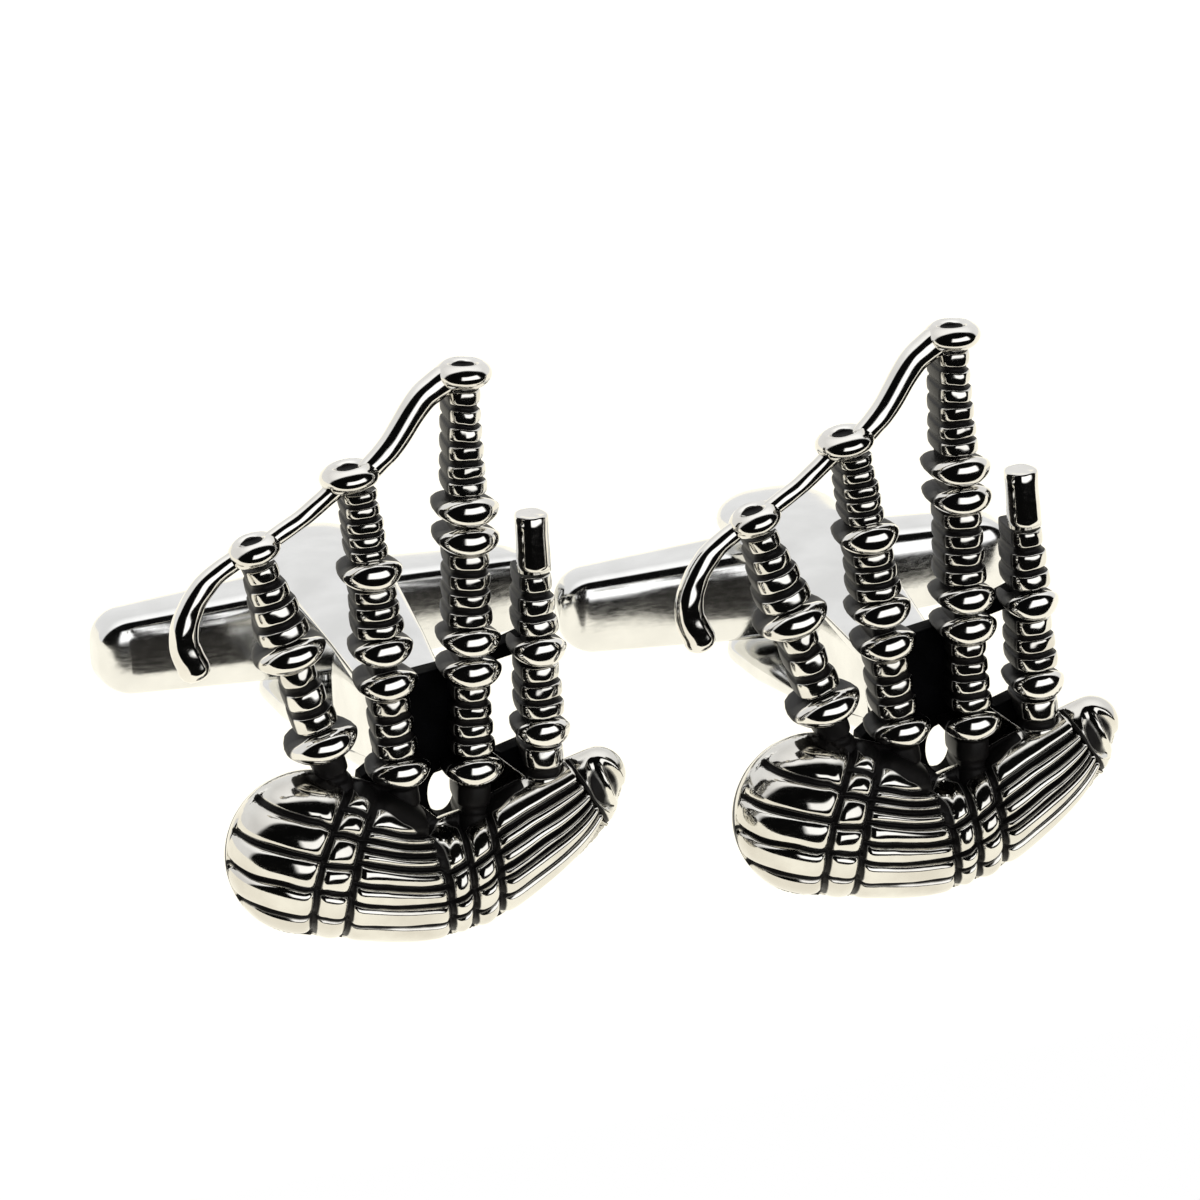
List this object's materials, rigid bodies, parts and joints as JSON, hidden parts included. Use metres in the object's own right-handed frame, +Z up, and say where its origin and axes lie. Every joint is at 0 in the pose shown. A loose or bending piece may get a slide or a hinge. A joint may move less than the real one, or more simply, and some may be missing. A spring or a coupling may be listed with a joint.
{
  "type": "bagpipe cufflinks",
  "caption": "Pair of antiqued silver bagpipe cufflinks: each cast ornament carries a forked post with a swivelling toggle bar that turns in line to pass a cuff and across to hold it.",
  "frame": {"origin": "centre of the pair's footprint, on the surface that both cufflinks rest on", "axes": "+X from the left cufflink to the right one, -Y is the way the ornaments face, +Z up"},
  "size_m": [0.0364, 0.0249, 0.0214],
  "materials": {
    "antique_silver": "polished silver plate with blackened grooves",
    "polished_silver": "bright polished silver plate",
    "polished_finding": "tumbled rhodium plate with soft bevels",
    "blackened_recess": "black antiquing enamel over metal"
  },
  "bodies": {
    "left_cufflink": {"left_bag": "antique_silver", "left_bag_tip": "antique_silver", "left_back_web": "blackened_recess", "left_bass_drone": "antique_silver", "left_bass_cap": "polished_silver", "left_bass_top_collars": "polished_silver", "left_bass_slide_collars": "polished_silver", "left_bass_foot_collar": "polished_silver", "left_inner_tenor_drone": "antique_silver", "left_inner_tenor_cap": "polished_silver", "left_inner_tenor_top_collar": "polished_silver", "left_inner_tenor_slide_collars": "polished_silver", "left_inner_tenor_foot_collar": "polished_silver", "left_outer_tenor_drone": "antique_silver", "left_outer_tenor_cap": "polished_silver", "left_outer_tenor_slide_collar": "polished_silver", "left_outer_tenor_foot_collar": "polished_silver", "left_blowpipe": "antique_silver", "left_mouthpiece": "polished_silver", "left_blowpipe_slide_collar": "polished_silver", "left_blowpipe_foot_collar": "polished_silver", "left_cord_upper": "polished_silver", "left_cord_lower": "polished_silver", "left_cord_tail": "polished_silver", "left_solder_pad": "polished_finding", "left_fork": "polished_finding", "left_pivot_pin": "polished_finding"},
    "left_toggle": {"left_toggle_bar": "polished_finding"},
    "right_cufflink": {"right_bag": "antique_silver", "right_bag_tip": "antique_silver", "right_back_web": "blackened_recess", "right_bass_drone": "antique_silver", "right_bass_cap": "polished_silver", "right_bass_top_collars": "polished_silver", "right_bass_slide_collars": "polished_silver", "right_bass_foot_collar": "polished_silver", "right_inner_tenor_drone": "antique_silver", "right_inner_tenor_cap": "polished_silver", "right_inner_tenor_top_collar": "polished_silver", "right_inner_tenor_slide_collars": "polished_silver", "right_inner_tenor_foot_collar": "polished_silver", "right_outer_tenor_drone": "antique_silver", "right_outer_tenor_cap": "polished_silver", "right_outer_tenor_slide_collar": "polished_silver", "right_outer_tenor_foot_collar": "polished_silver", "right_blowpipe": "antique_silver", "right_mouthpiece": "polished_silver", "right_blowpipe_slide_collar": "polished_silver", "right_blowpipe_foot_collar": "polished_silver", "right_cord_upper": "polished_silver", "right_cord_lower": "polished_silver", "right_cord_tail": "polished_silver", "right_solder_pad": "polished_finding", "right_fork": "polished_finding", "right_pivot_pin": "polished_finding"},
    "right_toggle": {"right_toggle_bar": "polished_finding"}
  },
  "joints": [
    {"name": "left_toggle_swivel", "type": "hinge", "parent": "left_cufflink", "child": "left_toggle", "pos_m": [-0.00912, 0.00937, 0.00384], "axis": [0.0262, 0.2078, 0.9778], "range_deg": [-96, 84]},
    {"name": "right_toggle_swivel", "type": "hinge", "parent": "right_cufflink", "child": "right_toggle", "pos_m": [0.00912, 0.00677, 0.00384], "axis": [-0.0262, 0.2078, 0.9778], "range_deg": [-84, 96]},
    {"name": "right_cufflink_lift", "type": "slide", "parent": "left_cufflink", "child": "right_cufflink", "axis": [0, 0, 1], "range_m": [0, 0.03]}
  ]
}
